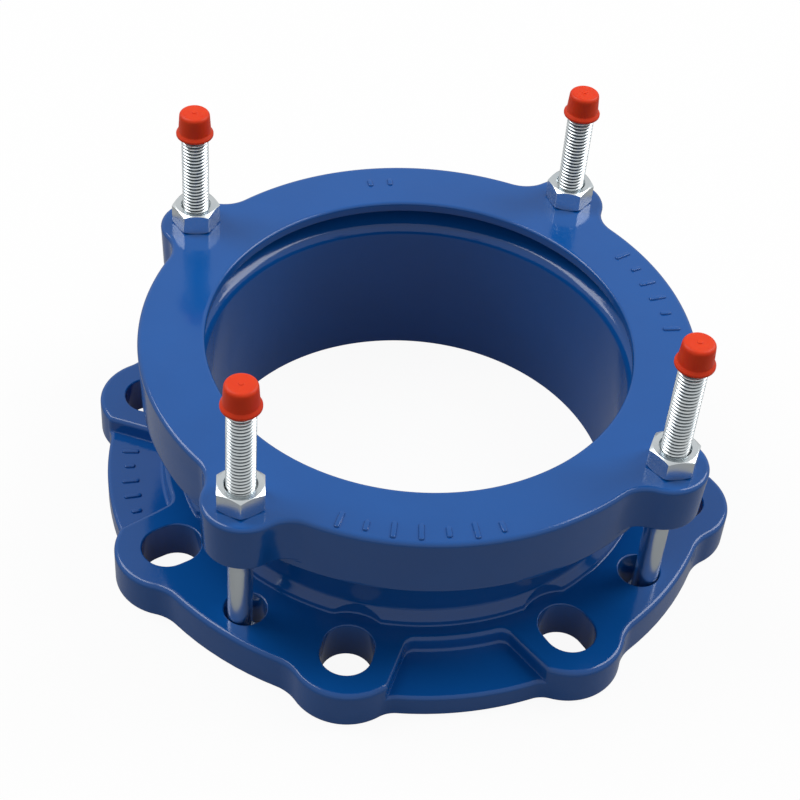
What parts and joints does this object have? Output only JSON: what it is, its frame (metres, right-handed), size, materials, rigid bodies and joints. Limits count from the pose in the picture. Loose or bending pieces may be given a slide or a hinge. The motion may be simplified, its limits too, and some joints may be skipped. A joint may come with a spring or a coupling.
{
  "type": "flange adaptor",
  "caption": "Flange adaptor for plain-ended pipe: cast body with slotted bolting flange, loose gland ring on threaded studs, hidden rubber gasket, plastic thread caps.",
  "frame": {"origin": "centre of the flange's bolting face, on the pipe axis", "axes": "+Z along the pipe axis from the flange towards the gland ring; the flange's pockets lie on X and Y and the studs at 45 degrees between them"},
  "size_m": [0.2744, 0.2744, 0.1541],
  "materials": {
    "epoxy_blue": "glossy fusion-bonded epoxy over ductile iron",
    "zinc_steel": "bright zinc plate",
    "rubber_black": "matt moulded rubber",
    "cap_red": "soft moulded polyethylene"
  },
  "bodies": {
    "flange": {"flange_body": "epoxy_blue", "sealing_gasket": "rubber_black", "tee_bolt_1": "zinc_steel", "tee_bolt_2": "zinc_steel", "tee_bolt_3": "zinc_steel", "tee_bolt_4": "zinc_steel"},
    "gland_ring": {"gland_ring": "epoxy_blue"},
    "nut_1": {"hex_nut_1": "zinc_steel"},
    "nut_2": {"hex_nut_2": "zinc_steel"},
    "nut_3": {"hex_nut_3": "zinc_steel"},
    "nut_4": {"hex_nut_4": "zinc_steel"},
    "cap_1": {"thread_cap_1": "cap_red"},
    "cap_2": {"thread_cap_2": "cap_red"},
    "cap_3": {"thread_cap_3": "cap_red"},
    "cap_4": {"thread_cap_4": "cap_red"}
  },
  "joints": [
    {"name": "ring_slide", "type": "slide", "parent": "flange", "child": "gland_ring", "axis": [0, 0, 1], "range_m": [-0.0035, 0.035], "deforming": ["sealing_gasket"]},
    {"name": "nut_1_turn", "type": "hinge", "parent": "gland_ring", "child": "nut_1", "pos_m": [0.08796, 0.08796, 0.09208], "axis": [0, 0, 1], "range_deg": [-721, 7201]},
    {"name": "nut_2_turn", "type": "hinge", "parent": "gland_ring", "child": "nut_2", "pos_m": [-0.08796, 0.08796, 0.09208], "axis": [0, 0, 1], "range_deg": [-721, 7201]},
    {"name": "nut_3_turn", "type": "hinge", "parent": "gland_ring", "child": "nut_3", "pos_m": [-0.08796, -0.08796, 0.09208], "axis": [0, 0, 1], "range_deg": [-721, 7201]},
    {"name": "nut_4_turn", "type": "hinge", "parent": "gland_ring", "child": "nut_4", "pos_m": [0.08796, -0.08796, 0.09208], "axis": [0, 0, 1], "range_deg": [-721, 7201]},
    {"name": "cap_1_pull", "type": "slide", "parent": "flange", "child": "cap_1", "axis": [0, 0, 1], "range_m": [0, 0.012]},
    {"name": "cap_2_pull", "type": "slide", "parent": "flange", "child": "cap_2", "axis": [0, 0, 1], "range_m": [0, 0.012]},
    {"name": "cap_3_pull", "type": "slide", "parent": "flange", "child": "cap_3", "axis": [0, 0, 1], "range_m": [0, 0.012]},
    {"name": "cap_4_pull", "type": "slide", "parent": "flange", "child": "cap_4", "axis": [0, 0, 1], "range_m": [0, 0.012]}
  ],
  "couplings": [
    {"joint": "nut_1_turn", "follows": "ring_slide", "rad_per_m": 3590.4},
    {"joint": "nut_2_turn", "follows": "ring_slide", "rad_per_m": 3590.4},
    {"joint": "nut_3_turn", "follows": "ring_slide", "rad_per_m": 3590.4},
    {"joint": "nut_4_turn", "follows": "ring_slide", "rad_per_m": 3590.4}
  ]
}
